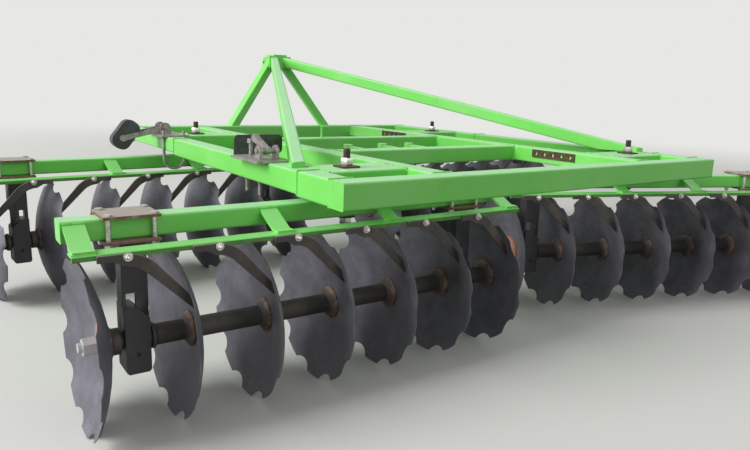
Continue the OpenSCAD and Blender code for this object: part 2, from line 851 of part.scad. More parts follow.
module spools(i) {
  color(dark_steel) at_gang(i) translate([0, axle_v, axle_z]) {
    for (k = [0 : disc_count - 2]) {
      start = disc_u(k) + seat + seat_gap;
      hanger_at = (k == 0) ? HANGERS[0] : HANGERS[1];
      a = hanger_at - housing_w / 2 - bearing_gap - start;
      b = hanger_at + housing_w / 2 + bearing_gap - start;
      translate([start, 0, 0]) rotate([0, 90, 0]) rotate_extrude()
        if (k == 0 || k == disc_count - 2) bearing_profile(spool_l, a, b);
        else spool_profile(spool_l);
    }
    first = disc_u(0) + seat - disc_t;
    last = disc_u(disc_count - 1) + seat;
    translate([first - 10, -shaft_side / 2, -shaft_side / 2])
      cube([last - first + 20, shaft_side, shaft_side]);
    nuts = first - seat_gap - washer_depth;
    translate([first - seat_gap, 0, 0]) rotate([0, 90, 0]) rotate_extrude() end_washer_profile();
    translate([nuts - nut_h, 0, 0]) rotate([0, 90, 0]) hex_nut(nut_af, nut_h + 1);
    translate([nuts - nut_h - lock_nut_h, 0, 0]) rotate([0, 90, 0]) hex_nut(nut_af, lock_nut_h);
    translate([nuts - nut_h - lock_nut_h - thread_out, 0, 0]) rotate([0, 90, 0])
      cylinder(r = thread_r, h = nut_h + lock_nut_h + thread_out + 8);
    translate([last + seat_gap, 0, 0]) rotate([0, 90, 0]) cylinder(r = flare_r, h = end_plate_t);
    translate([last + end_plate_t, 0, 0]) rotate([0, 90, 0]) cylinder(r = thread_r + 11, h = 3);
  }
}

rear_beam();
front_beam();
side_beam_left();
side_beam_right();
inner_beam_left();
inner_beam_right();
cross_beam_rear();
cross_beam_front();
pivot_bridges();
pivot_bolts();
angle_racks();
tower_legs();
tower_braces();
top_link_head();
lower_hitch();
side_bracket_front();
side_bracket_rear();
gang_beam(0);  // beam_rear_left
gang_beam(1);  // beam_rear_right
gang_beam(2);  // beam_front_left
gang_beam(3);  // beam_front_right
scraper_bar(0);  // scraper_bar_rear_left
scraper_bar(1);  // scraper_bar_rear_right
scraper_bar(2);  // scraper_bar_front_left
scraper_bar(3);  // scraper_bar_front_right
scrapers(0);  // scrapers_rear_left
scrapers(1);  // scrapers_rear_right
scrapers(2);  // scrapers_front_left
scrapers(3);  // scrapers_front_right
clamps(0);  // clamps_rear_left
clamps(1);  // clamps_rear_right
clamps(2);  // clamps_front_left
clamps(3);  // clamps_front_right
hangers(0);  // hangers_rear_left
hangers(1);  // hangers_rear_right
hangers(2);  // hangers_front_left
hangers(3);  // hangers_front_right
discs(0);  // discs_rear_left
discs(1);  // discs_rear_right
discs(2);  // discs_front_left
discs(3);  // discs_front_right
spools(0);  // spools_rear_left
spools(1);  // spools_rear_right
spools(2);  // spools_front_left
spools(3);  // spools_front_right
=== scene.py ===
"""Looks of a mounted disc harrow: finishes, ground discs, turned spools, bolts, welds and light."""

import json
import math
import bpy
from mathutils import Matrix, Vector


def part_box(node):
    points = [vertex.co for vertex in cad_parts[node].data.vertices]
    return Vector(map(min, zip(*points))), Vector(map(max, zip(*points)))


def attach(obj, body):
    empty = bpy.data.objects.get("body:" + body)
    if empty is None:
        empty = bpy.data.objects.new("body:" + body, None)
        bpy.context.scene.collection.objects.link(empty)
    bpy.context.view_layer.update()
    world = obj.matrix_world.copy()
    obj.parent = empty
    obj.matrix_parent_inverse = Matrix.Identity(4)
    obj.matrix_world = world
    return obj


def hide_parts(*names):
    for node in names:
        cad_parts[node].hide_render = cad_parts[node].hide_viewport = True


bl_info = {
    "name": "Disc harrow looks",
    "version": (1, 0, 0),
    "blender": (4, 5, 0),
    "location": "View3D > Sidebar > Harrow",
    "description": "Dresses the packed disc harrow with finishes, bolts and weld beads",
    "category": "Object",
}

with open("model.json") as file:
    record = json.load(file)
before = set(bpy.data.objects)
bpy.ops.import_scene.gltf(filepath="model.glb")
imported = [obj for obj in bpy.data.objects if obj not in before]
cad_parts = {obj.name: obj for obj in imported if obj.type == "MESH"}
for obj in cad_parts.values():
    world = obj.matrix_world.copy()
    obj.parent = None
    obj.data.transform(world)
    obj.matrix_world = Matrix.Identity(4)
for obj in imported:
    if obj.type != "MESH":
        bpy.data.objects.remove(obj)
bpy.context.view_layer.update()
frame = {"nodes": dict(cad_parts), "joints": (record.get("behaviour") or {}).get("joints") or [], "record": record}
JOINTS = {joint["name"]: joint for joint in frame["joints"]}

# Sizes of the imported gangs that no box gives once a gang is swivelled, in metres. A clamp plate has
# half its width, half its depth and its thickness, and a strap's head and foot have two edges each
BEAM_LENGTH = 1.880
BEAM_DEPTH = 0.090
BEAM_TOP = 0.729
BEAM_BOTTOM = 0.657
REAR_INNER = 0.812
FRONT_INNER = 0.650
DISCS = 7
DISC_GAP = 0.291
FIRST_DISC = 0.042
DISC_RADIUS = 0.305
DISH = 0.080
DISC_WALL = 0.006
DISC_FLAT = 0.068
DISC_BORE = 0.0275
BALL = (DISC_RADIUS ** 2 + DISH ** 2) / (2 * DISH)
NOTCHES = 10
AXLE_BACK = 0.030
HANGERS = (0.21027, 1.66527)
CLAMP_PLATE = (0.091, 0.080, 0.010)
CLAMP_HEAD = 0.006
BAR_BACK = 0.200
BAR_TOP = 0.654
BAR_WALL = 0.006
BAR_WIDTH = 0.065
STRAPS = (0.039, 0.702, 1.187, 1.841)
STRAP_WIDTH = 0.065
STRAP_HEAD = (BEAM_TOP - 0.009, BEAM_TOP - 0.022)
STRAP_FOOT = (0.008 - BAR_BACK, 0.050 - BAR_BACK)
SCRAPER_WALL = 0.008
SCRAPER_BOLT = (0.159, 0.639)
SCRAPER_UP = 0.160
SCRAPER_GAP = 0.006
SCRAPER_SLOPE = 46.0
SCRAPER_BEND = 0.115
END_WASHER = (0.09226, 0.11226)
JOURNAL = 0.0306
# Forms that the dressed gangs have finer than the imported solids: wide shallow notches, a slim scraper
# with a low tail, a lower flange on its bar, and a narrow hanger with one sloping shoulder
NOTCH_RADIUS = 0.070
NOTCH_CENTRE = 0.351
SCRAPER_ARM = 0.040
SCRAPER_END = 0.054
SCRAPER_TAIL = 0.090
TAIL_HEIGHT = 0.023
BAR_LIP = 0.018
POST_WIDTH = 0.084
POST_DEPTH = 0.070
POST_WALL = 0.012
HOUSING_WIDTH = 0.082
HOUSING_DEPTH = 0.104
HOUSING_UP = 0.124
HOUSING_DOWN = 0.109
SHOULDER = 0.042
WINDOW_TOP = 0.476
SLAB_EASE = 0.0012
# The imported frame: its top and rear face, and what no box gives, forward of that face. A seam has its
# place and height, a nut its flats and height, and a washer plate half its width and its thickness
FRAME_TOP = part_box("rear_beam")[1].z
REAR_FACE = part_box("rear_beam")[0].y
SEAMS = ((0.331, 0.091), (1.774, 0.078))
NOSE_HEIGHT = 0.078
PIVOT_ROWS = (0.370, 2.100)
BRIDGE_DEPTH = 0.220
BRIDGE_HEIGHT = 0.090
CROSS_DEPTH = 0.100
PIVOT_BOLT = 0.015
PIVOT_NUT = (0.046, 0.031)
PIVOT_WASHER = (0.040, 0.008)
BLOCK_SIDE = 1.262
BLOCK_REAR = REAR_FACE + 2.012
BLOCK_FRONT = REAR_FACE + 2.078
FLAP_REAR = REAR_FACE + 0.936
# Finishes and studio: how sharply one finish meets the next, the tone behind the machine and from how
# far out the floor takes it on, each lamp's side and place, and the camera's angles in degrees
SHARP = 0.0004
WASHER_RUST = ("#96604a", "#b58876")
BACKDROP = (0.80, 0.80, 0.78, 1.0)
BACKDROP_FROM = (5.0, 16.0)
LAMPS = {"key": (14.0, (-20.6, 3.0, 11.2)), "fill": (6.0, (2.5, -10.0, 5.0))}
CAMERA_PLACE = (-2.3343, -3.1930, 1.1655)
CAMERA_TURN = -35.33
CAMERA_TILT = 12.03
CAMERA_ROLL = 2.01
CAMERA_LENS = 30.85
UP = Vector((0, 0, 1))
HERE = Matrix.Identity(4)

# Gangs: -1 where the first disc is at the right end, else 1, and the pivot from the first disc's end
GANGS = {
    "rear_left": (1, BEAM_LENGTH - REAR_INNER),
    "rear_right": (1, REAR_INNER),
    "front_left": (-1, FRONT_INNER),
    "front_right": (-1, BEAM_LENGTH - FRONT_INNER),
}


class Gang:
    """A gang's own frame at rest: u runs along the beam from the first disc's end, v forward."""

    def __init__(self, name):
        roll = JOINTS[name + "_roll"]
        axis = Vector(roll["axis"]).normalized()
        self.name = name
        self.axis = axis
        self.hand, pivot = GANGS[name]
        self.along = axis * self.hand
        self.forward = UP.cross(axis)
        self.start = Vector(roll["pos_m"]) - self.along * pivot
        self.axle_z = self.start.z
        self.start.z = 0.0

    def at(self, u, v, z):
        """The point at u along the beam, v ahead of the beam's middle and z above the ground."""
        point = self.start + self.along * u + self.forward * (v + AXLE_BACK)
        return Vector((point.x, point.y, z))

    def axle_turn(self):
        """Turns a piece made round Z so that its Z runs along the axle."""
        return Matrix((-UP, self.along.cross(-UP), self.along)).transposed().to_4x4()

    def upright(self):
        """Turns a piece that stands upright: X along the axle to the machine's right, Y forward."""
        return Matrix((self.axis, self.forward, UP)).transposed().to_4x4()

    def lengthwise(self, u, width):
        """For a profile drawn in v and z that runs width along the beam, its middle at u."""
        turn = Matrix((self.forward, UP, self.axis)).transposed().to_4x4()
        return Matrix.Translation(self.at(u - self.hand * width / 2, 0, 0)) @ turn

    def seen_from_rear(self, outline):
        """An outline drawn in u and z, anticlockwise as it looks from behind the gang."""
        return outline if self.hand > 0 else [(-x, z) for x, z in reversed(outline)]

    def rear_turn(self):
        """Turns a piece made upwards so that it points to the rear of the gang."""
        across = self.forward.cross(UP)
        back = -self.forward
        return Matrix((across, back.cross(across), back)).transposed().to_4x4()


def linear(hex_colour):
    """A hex colour as linear RGBA."""
    values = [int(hex_colour[i:i + 2], 16) / 255 for i in (1, 3, 5)]
    return [v / 12.92 if v <= 0.04045 else ((v + 0.055) / 1.055) ** 2.4 for v in values] + [1.0]


def lift(z):
    return Matrix.Translation((0, 0, z))


def add(tree, kind, inputs=(), **settings):
    """Adds a node, sets its properties, then its inputs by value or by link, and gives its outputs."""
    node = tree.nodes.new(kind)
    for key, value in settings.items():
        setattr(node, key, value)
    for key, value in dict(inputs).items():
        if isinstance(value, bpy.types.NodeSocket):
            tree.links.new(value, node.inputs[key])
        else:
            node.inputs[key].default_value = value
    return node.outputs


class Finish:
    """A material in the making, with the few patterns that the harrow's finishes share."""

    def __init__(self, name):
        self.material = bpy.data.materials.new(name)
        self.material.use_nodes = True
        self.tree = self.material.node_tree
        self.tree.nodes.clear()
        self.place = self.node("TexCoord")["Object"]

    def node(self, kind, inputs=(), **settings):
        return add(self.tree, "ShaderNode" + kind, inputs, **settings)

    def split(self, vector):
        """A vector's X, Y and Z by name."""
        return self.node("SeparateXYZ", {"Vector": vector})

    def length(self, vector):
        return self.node("VectorMath", {0: vector}, operation="LENGTH")["Value"]

    def height(self):
        """Height above the ground at rest."""
        return self.split(self.place)["Z"]

    def around(self, gang):
        """The way along a gang's axle from its start, and the distance from the axle."""
        here = self.split(self.node("Mapping", {
            "Location": Vector((gang.start.x, gang.start.y, gang.axle_z)),
            "Rotation": (0.0, 0.0, math.atan2(gang.along.y, gang.along.x)),
            "Vector": self.place}, vector_type="TEXTURE")["Vector"])
        across = self.node("CombineXYZ", {"Y": here["Y"], "Z": here["Z"]})[0]
        return here["X"], self.length(across)

    def noise(self, size_mm, detail=3.0, rough=0.55, vector=None):
        """Noise whose lumps are about size_mm across."""
        return self.node("TexNoise", {"Scale": 1000.0 / size_mm, "Detail": detail, "Roughness": rough,
            "Vector": vector or self.place})["Fac"]

    def step(self, value, low, high):
        """Goes from 0 to 1 as value goes from low to high."""
        return self.node("MapRange", {"Value": value, "From Min": low, "From Max": high},
            interpolation_type="SMOOTHSTEP")["Result"]

    def past(self, value, edge):
        """1 from edge on, 0 before it."""
        return self.step(value, edge - SHARP, edge)

    def patches(self, noise, low=0.4, high=0.7):
        """Patches of a noise that is given by its size, detail and roughness."""
        return self.step(self.noise(*noise), low, high)

    def upward(self, low=0.5, high=0.95):
        """1 on faces that look up, where dust settles, and where some finishes paint a sheen of sky light."""
        return self.step(self.split(self.node("NewGeometry")["Normal"])["Z"], low, high)

    def edges(self, radius):
        """1 along outer edges, 0 on flats."""
        soft = self.node("Bevel", {"Radius": radius}, samples=4)[0]
        true = self.node("NewGeometry")["Normal"]
        flat = self.node("VectorMath", {0: soft, 1: true}, operation="DOT_PRODUCT")["Value"]
        return self.step(self.inverse(flat), 0.01, 0.12)

    def calc(self, kind, a, b):
        return self.node("Math", {0: a, 1: b}, operation=kind)[0]

    def times(self, a, b):
        return self.calc("MULTIPLY", a, b)

    def inverse(self, share):
        """What is left of 1."""
        return self.calc("SUBTRACT", 1.0, share)

    def colour(self, value):
        """A socket as it is, or a hex colour or four linear numbers as a list."""
        if isinstance(value, bpy.types.NodeSocket):
            return value
        return linear(value) if isinstance(value, str) else list(value)

    def mix(self, share, under, over):
        inputs = {0: share, 6: self.colour(under), 7: self.colour(over)}
        return self.node("Mix", inputs, data_type="RGBA")[2]

    def blend(self, share, low, high):
        return self.node("Mix", {0: share, 2: low, 3: high})[0]

    def bump(self, height, distance, strength=0.3):
        inputs = {"Strength": strength, "Distance": distance, "Height": height}
        return self.node("Bump", inputs)["Normal"]

    def finish(self, colour, rough, metallic, normal=None):
        links = {"Base Color": colour, "Roughness": rough, "Metallic": metallic}
        if normal is not None:
            links["Normal"] = normal
        self.node("OutputMaterial", {"Surface": self.node("BsdfPrincipled", links)[0]})
        return self.material


def lime_enamel(paint, name="lime_enamel", dust_and_sheen_share=1.0):
    """Sprayed lime enamel on welded tube: a soft gloss, chalked by the sun, chipped at its edges, and paled on
    faces that look up by dust and by a painted sky sheen.
    """
    f = Finish(name)
    chalk = f.patches((420.0, 4.0), 0.42, 0.72)
    grime = f.patches((90.0, 6.0, 0.65), 0.55, 0.8)
    # Faces that look up are paled towards the dust colour: partly real dust, partly a painted sheen of sky light.
    dust_and_sky_sheen = f.times(f.upward(), f.blend(f.noise(150.0, 5.0, 0.6), 0.3 * dust_and_sheen_share, 0.7 * dust_and_sheen_share))
    colour = f.mix(f.times(chalk, 0.35), paint.lime, paint.lime_chalked)
    colour = f.mix(dust_and_sky_sheen, colour, paint.lime_dust_and_sheen)
    colour = f.mix(f.times(grime, 0.28), colour, paint.lime_grime_and_shade)
    worn = f.times(f.edges(0.003), f.patches((14.0, 5.0, 0.7), 0.56, 0.64))
    colour = f.mix(worn, colour, f.mix(f.noise(4.0), "#5a3424", "#8c5a3c"))
    rough = f.blend(worn, f.blend(f.calc("MAXIMUM", chalk, dust_and_sky_sheen), 0.32, 0.55), 0.8)
    return f.finish(colour, rough, 0.0, f.bump(f.noise(3.5, 2.0), 0.0006, 0.25))


def flange_enamel_in_shade(paint):
    """The same enamel on a scraper bar's rear flange, darkened all over as painted shade, and rusting along its
    lower edge.
    """
    f = Finish("soiled_flange_enamel")
    low = f.step(f.height(), BAR_TOP - BAR_LIP + 0.006, BAR_TOP - BAR_LIP)
    # Painted shade: the rear flange is dark green all over, standing in for the shade on it. The brown along its
    # lower edge is rust.
    colour = f.mix(f.patches((60.0, 5.0, 0.6), 0.3, 0.75), paint.lime_grime_and_shade, "#4a7f3c")
    colour = f.mix(f.times(low, f.patches((40.0, 5.0, 0.65), 0.4, 0.6)), colour, "#6f4d38")
    return f.finish(colour, 0.6, 0.0)


def lime_welds(paint):
    """Weld beads under the same enamel, with grime in their ripples."""
    f = Finish("lime_weld_beads")
    return f.finish(f.mix(f.patches((16.0, 4.0), 0.45, 0.75), paint.lime, paint.lime_grime_and_shade), 0.42, 0.0)


def dark_enamel(paint, clamp_plate_z):
    """Dark enamel on hangers and housings under road dust, with the bare clamp plate above."""
    f = Finish("dark_enamel_hangers")
    colour = f.mix(f.times(f.patches((60.0, 5.0, 0.6), 0.45, 0.75), 0.35), paint.dark, "#57534e")
    bare = f.past(f.height(), clamp_plate_z)
    colour = f.mix(bare, colour, f.mix(f.patches((12.0, 5.0, 0.65)), "#8d7568", "#7a4c38"))
    return f.finish(colour, f.blend(bare, 0.5, 0.75), 0.0, f.bump(f.noise(2.5, 3.0), 0.0008, 0.4))


def hardened_disc(paint, gang):
    """Quenched boron steel discs: blue-grey scale, scuffs round the axle, rust round the end washer."""
    f = Finish("hardened_disc_steel_" + gang.name)
    along, radius = f.around(gang)
    scuffed = f.node("CombineXYZ", {"X": radius, "Y": f.times(along, 0.05)})[0]
    rings = f.noise(9.0, 3.0, 0.6, scuffed)
    cloud = f.noise(110.0, 5.0, 0.6)
    fine = f.noise(7.0, 4.0, 0.7)
    colour = f.mix(f.step(cloud, 0.35, 0.7), paint.disc_dark, paint.disc)
    colour = f.mix(f.times(f.step(rings, 0.45, 0.7), 0.25), colour, "#84838d")
    colour = f.mix(f.times(f.step(fine, 0.62, 0.8), 0.3), colour, "#5a4a41")
    hub = f.inverse(f.step(radius, 0.060, 0.090))
    colour = f.mix(f.times(hub, f.patches((22.0, 5.0, 0.6), 0.35, 0.9)), colour, "#6f5447")
    end_face = f.inverse(f.past(along, END_WASHER[1] + 0.0022))
    bare = f.times(end_face, f.inverse(f.step(radius, 0.086, 0.089)))
    colour = f.mix(bare, colour, f.mix(f.noise(16.0, 5.0), *WASHER_RUST))
    bumps = f.calc("ADD", rings, f.times(fine, 0.5))
    return f.finish(colour, f.blend(cloud, 0.5, 0.68), 0.12, f.bump(bumps, 0.0005))


def ground_edge():
    """The discs' ground cutting bevel, a duller silver than a new edge."""
    f = Finish("ground_disc_edge")
    return f.finish(f.mix(f.patches((10.0, 4.0)), "#c3c2c6", "#8f8e94"), 0.38, 0.6)


def cast_spool(paint, gang):
    """Dark cast spools with rust on their flares, zinc plated nuts and a rusty end washer."""
    f = Finish("cast_spool_" + gang.name)
    along, radius = f.around(gang)
    flare = f.times(f.step(radius, 0.044, 0.060), f.patches((34.0, 5.0, 0.65), 0.38, 0.62))
    colour = f.mix(f.patches((80.0, 4.0), 0.35, 0.7), paint.spool, "#5b5650")
    colour = f.mix(f.times(flare, 0.85), colour, "#a67f6c")
    before_disc = f.inverse(f.past(along, END_WASHER[1]))
    colour = f.mix(before_disc, colour, f.mix(f.noise(16.0, 5.0), *WASHER_RUST))
    nuts = f.inverse(f.past(along, END_WASHER[0]))
    colour = f.mix(nuts, colour, f.mix(f.noise(14.0, 3.0), "#c9c9c8", "#dddddb"))
    return f.finish(colour, f.blend(nuts, 0.62, 0.34), f.blend(nuts, 0.1, 0.7),
        f.bump(f.noise(4.0, 4.0, 0.6), 0.0012, 0.4))


def scraper_steel():
    """Hot rolled flat bar with brown mill scale, a lighter scuffed edge, and a painted highlight of sky light on
    faces that look up.
    """
    f = Finish("scraper_flat_bar")
    colour = f.mix(f.patches((70.0, 4.0)), "#3f3b38", "#584f49")
    colour = f.mix(f.times(f.edges(0.0025), 0.6), colour, "#8a837c")
    # Painted highlight: faces that look up are lightened as if lit by the sky.
    colour = f.mix(f.times(f.upward(0.25, 0.7), 0.75), colour, "#86807a")
    return f.finish(colour, 0.55, 0.1, f.bump(f.noise(3.0, 3.0), 0.0005))


def clamp_finish(plate_low, plate_high):
    """Bare clamp plates gone brown, between zinc plated bolts, rods and nuts."""
    f = Finish("bare_clamp_plates")
    height = f.height()
    in_plate = f.times(f.step(height, plate_low - 0.0003, plate_low),
        f.inverse(f.step(height, plate_high + 0.0001, plate_high + 0.0004)))
    plate = f.mix(f.noise(45.0, 5.0, 0.6), "#968e86", "#b3aaa1")
    rusty_rim = f.times(f.inverse(f.upward()), f.patches((30.0, 5.0), 0.25, 0.55))
    plate = f.mix(rusty_rim, plate, "#7d5544")
    zinc = f.mix(f.patches((12.0, 4.0)), "#cfcfca", "#a5a29a")
    return f.finish(f.mix(in_plate, zinc, plate), f.blend(in_plate, 0.38, 0.72),
        f.blend(in_plate, 0.85, 0.1), f.bump(f.noise(3.0, 4.0, 0.6), 0.0005))


def bracket_steel(paint, which):
    """Bare weathered plate of a side bracket, with its dark painted block or its black rubber flap."""
    f = Finish("weathered_bracket_steel_" + which)
    place = f.split(f.place)
    if which == "front":
        dark = f.step(f.times(place["X"], -1.0), BLOCK_SIDE, BLOCK_SIDE + 0.0002)
        for edge, sign in ((BLOCK_REAR, 1.0), (BLOCK_FRONT, -1.0)):
            dark = f.times(dark, f.past(f.times(place["Y"], sign), edge * sign))
    else:
        dark = f.past(place["Y"], FLAP_REAR)
    colour = f.mix(f.patches((30.0, 5.0, 0.6)), "#a29e9b", "#7b7470")
    colour = f.mix(f.times(f.patches((11.0, 5.0), 0.56, 0.7), 0.7), colour, "#6e4b38")
    colour = f.mix(dark, colour, f.mix(f.patches((50.0, 4.0)), paint.dark, "#4d5052"))
    return f.finish(colour, f.blend(dark, 0.5, 0.62), f.blend(dark, 0.45, 0.0),
        f.bump(f.noise(3.0, 3.0), 0.0005, 0.4))


def perforated_strip_shaded():
    """Perforated strip in a dark brown that paints the shade on it, with lighter rust-brown patches."""
    f = Finish("rusty_perforated_strip")
    # Painted shade: the whole strip is dark brown for the shade it lies in, with lighter rust-brown patches of
    # noise.
    colour = f.mix(f.patches((18.0, 5.0)), "#3c302a", "#6b4837")
    return f.finish(colour, 0.75, 0.1, f.bump(f.noise(3.0, 4.0), 0.0006, 0.5))


def zinc_plate():
    """Zinc plated nuts and bolts, dulled to a pale grey."""
    f = Finish("dull_zinc_plating")
    colour = f.mix(f.patches((9.0, 4.0)), "#d3d3cd", "#a9a69c")
    return f.finish(colour, 0.36, 0.85, f.bump(f.noise(2.0, 3.0), 0.0002))


def thread_steel():
    """Oily dark thread ends with brown rust in the roots."""
    f = Finish("oiled_thread_steel")
    return f.finish(f.mix(f.patches((6.0, 4.0)), "#3e3733", "#6b4d3f"), 0.5, 0.5)


def skin(rings):
    """Faces from each ring of vertex numbers to the next. A ring of one number is a pole."""
    faces = []
    for low, high in zip(rings, rings[1:]):
        for k in range(max(len(low), len(high))):
            corners = ((low, k), (low, k + 1), (high, k + 1), (high, k))
            faces.append(list(dict.fromkeys(ring[i % len(ring)] for ring, i in corners)))
    return faces


class Solid:
    """Vertices and faces gathered piece by piece, each face tagged for its finish."""

    def __init__(self):
        self.verts = []
        self.faces = []
        self.tags = []

    def put(self, verts, faces, place=HERE, tag=0):
        first = len(self.verts)
        self.verts += [place @ Vector(v) for v in verts]
        self.faces += [[first + i for i in face] for face in faces]
        self.tags += tag if isinstance(tag, list) else [tag] * len(faces)

    def lathe(self, profile, steps, place=HERE, tag=0):
        """Turns (radius, height) points round Z. A radius of 0 closes the end."""
        verts = []
        rings = []
        for radius, height in profile:
            turns = [2 * math.pi * k / steps for k in range(steps if radius else 1)]
            rings.append(range(len(verts), len(verts) + len(turns)))
            verts += [(radius * math.cos(t), radius * math.sin(t), height) for t in turns]
        self.put(verts, skin(rings), place, tag)

    def nut(self, flats, height, place=HERE, tag=0):
        """Hexagon nut or head from z = 0 up, chamfered at both ends."""
        corner = flats / math.sqrt(3)
        cut = height * 0.12
        self.lathe([(0, 0), (corner * 0.9, 0), (corner, cut), (corner, height - cut),
            (corner * 0.9, height), (0, height)], 6, place, tag)

    def thread(self, radius, length, pitch, place=HERE, tag=0):
        """Round stub from z = 0 up, with a ring for each thread."""
        profile = [(0, 0), (radius, 0)]
        for k in range(int(length / pitch)):
            low = k * pitch
            profile += [(radius, low + pitch * 0.25), (radius * 0.91, low + pitch * 0.75)]
        profile += [(radius * 0.9, length - pitch * 0.3), (radius * 0.8, length), (0, length)]
        self.lathe(profile, 20, place, tag)

    def washer(self, radius, height, place=HERE, tag=0):
        self.lathe([(0, 0), (radius, 0), (radius, height * 0.8), (radius * 0.97, height), (0, height)],
            28, place, tag)

    def slab(self, low, high, bevel, place=HERE, tag=0):
        """Box with its upright edges and its rims eased by bevel."""
        (x0, y0, z0), (x1, y1, z1) = low, high
        loops = []
        for z, inset in ((z0, bevel), (z0 + bevel, 0), (z1 - bevel, 0), (z1, bevel)):
            a, b, c, d = x0 + inset, x1 - inset, y0 + inset, y1 - inset
            loops.append([(a + bevel, c, z), (b - bevel, c, z), (b, c + bevel, z), (b, d - bevel, z),
                (b - bevel, d, z), (a + bevel, d, z), (a, d - bevel, z), (a, c + bevel, z)])
        verts = [point for loop in loops for point in loop]
        caps = [list(range(7, -1, -1)), list(range(24, 32))]
        self.put(verts, caps + skin([range(k, k + 8) for k in (0, 8, 16, 24)]), place, tag)

    def prism(self, outline, thick, place=HERE, tag=0):
        """Plate cut to an outline that runs anticlockwise, from z = 0 up."""
        count = len(outline)
        verts = [(x, y, z) for z in (0.0, thick) for x, y in outline]
        caps = [list(range(count - 1, -1, -1)), list(range(count, 2 * count))]
        self.put(verts, caps + skin([range(count), range(count, 2 * count)]), place, tag)

    def piece(self, name, *finishes):
        """Makes the object, smooth except where its faces meet at more than 35 degrees."""
        mesh = bpy.data.meshes.new(name)
        mesh.from_pydata([tuple(v) for v in self.verts], [], self.faces)
        for finish in finishes:
            mesh.materials.append(finish)
        tagged = mesh.attributes.new("tagged", "BOOLEAN", "FACE")
        for polygon, tag in zip(mesh.polygons, self.tags):
            polygon.material_index = min(tag, max(len(finishes) - 1, 0))
            polygon.use_smooth = True
            tagged.data[polygon.index].value = tag > 0
        mesh.set_sharp_from_angle(angle=math.radians(35.0))
        return link(name, mesh)


def link(name, data):
    """Puts mesh, lamp or camera data in the scene as an object."""
    obj = bpy.data.objects.new(name, data)
    bpy.context.scene.collection.objects.link(obj)
    return obj


def new_tree(name, inputs):
    """A Geometry Nodes tree with a mesh as its output, a way to add its nodes, and its named inputs."""
    tree = bpy.data.node_groups.new(name, "GeometryNodeTree")
    sockets = [(label, kind, "INPUT") for label, kind in inputs] + [("Mesh", "Geometry", "OUTPUT")]
    for label, kind, side in sockets:
        tree.interface.new_socket(label, in_out=side, socket_type="NodeSocket" + kind)

    def node(kind, inputs, **settings):
        return add(tree, "GeometryNode" + kind, inputs, **settings)

    return tree, node, add(tree, "NodeGroupInput")


def row_tree():
    """Copies a mesh Count times from Start by Step, and sets the finishes by tag."""
    tree, node, given = new_tree("harrow_row", (("Mesh", "Geometry"), ("Count", "Int"),
        ("Start", "Vector"), ("Step", "Vector"), ("Finish", "Material"), ("Tagged finish", "Material")))
    line = node("MeshLine", {"Count": given["Count"], "Start Location": given["Start"],
        "Offset": given["Step"]}, mode="OFFSET")
    copies = node("InstanceOnPoints", {"Points": line[0], "Instance": given["Mesh"]})
    real = node("RealizeInstances", {"Geometry": copies[0]})
    whole = node("SetMaterial", {"Geometry": real[0], "Material": given["Finish"]})
    tag = node("InputNamedAttribute", {"Name": "tagged"}, data_type="BOOLEAN")
    some = node("SetMaterial", {"Geometry": whole[0], "Selection": tag["Attribute"],
        "Material": given["Tagged finish"]})
    add(tree, "NodeGroupOutput", {"Mesh": some[0]})
    return tree


def bead_tree():
    """Runs a rippled weld bead along every path of a wire mesh."""
    tree, node, given = new_tree("harrow_weld_bead", (("Paths", "Geometry"), ("Radius", "Float"),
        ("Ripple", "Float"), ("Finish", "Material")))
    curve = node("MeshToCurve", {"Mesh": given["Paths"]})
    even = node("ResampleCurve", {"Curve": curve[0], "Length": given["Ripple"]}, mode="LENGTH")
    spread = add(tree, "FunctionNodeRandomValue", {2: 0.75, 3: 1.15, "Seed": 4})
    sized = node("SetCurveRadius", {"Curve": even[0], "Radius": spread[1]})
    ring = node("CurvePrimitiveCircle", {"Resolution": 8, "Radius": given["Radius"]})
    tube = node("CurveToMesh", {"Curve": sized[0], "Profile Curve": ring[0], "Fill Caps": True})
    real = node("RealizeInstances", {"Geometry": tube[0]})
    done = node("SetMaterial", {"Geometry": real[0], "Material": given["Finish"]})
    add(tree, "NodeGroupOutput", {"Mesh": done[0]})
    return tree


def use_nodes(base, tree, values):
    """Sets a tree's named inputs by their identifiers, and makes the result a plain mesh."""
    modifier = base.modifiers.new("nodes", "NODES")
    modifier.node_group = tree
    for item in tree.interface.items_tree:
        if item.in_out == "INPUT" and item.name in values:
            modifier[item.identifier] = values[item.name]
    bpy.context.view_layer.update()
    seen = base.evaluated_get(bpy.context.evaluated_depsgraph_get())
    mesh = bpy.data.meshes.new_from_object(seen)
    base.modifiers.clear()
    base.data = mesh
    mesh.name = base.name
    return clean(base)


def clean(piece):
    """Drops the tags, which only the making needs."""
    tagged = piece.data.attributes.get("tagged")
    if tagged is not None:
        piece.data.attributes.remove(tagged)
    return piece


def row(base, finishes, count, start, step):
    """Repeats a base piece count times from start by step."""
    tree = bpy.data.node_groups.get("harrow_row") or row_tree()
    return use_nodes(base, tree, {"Count": count, "Start": start, "Step": step,
        "Finish": finishes[0], "Tagged finish": finishes[-1]})


def settle(piece, body):
    """Lets a piece move with a body."""
    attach(piece, body)


def set_finish(node, material):
    """Gives a CAD node its finish by its material slots."""
    mesh = frame["nodes"][node].data
    mesh.materials.clear()
    mesh.materials.append(material)


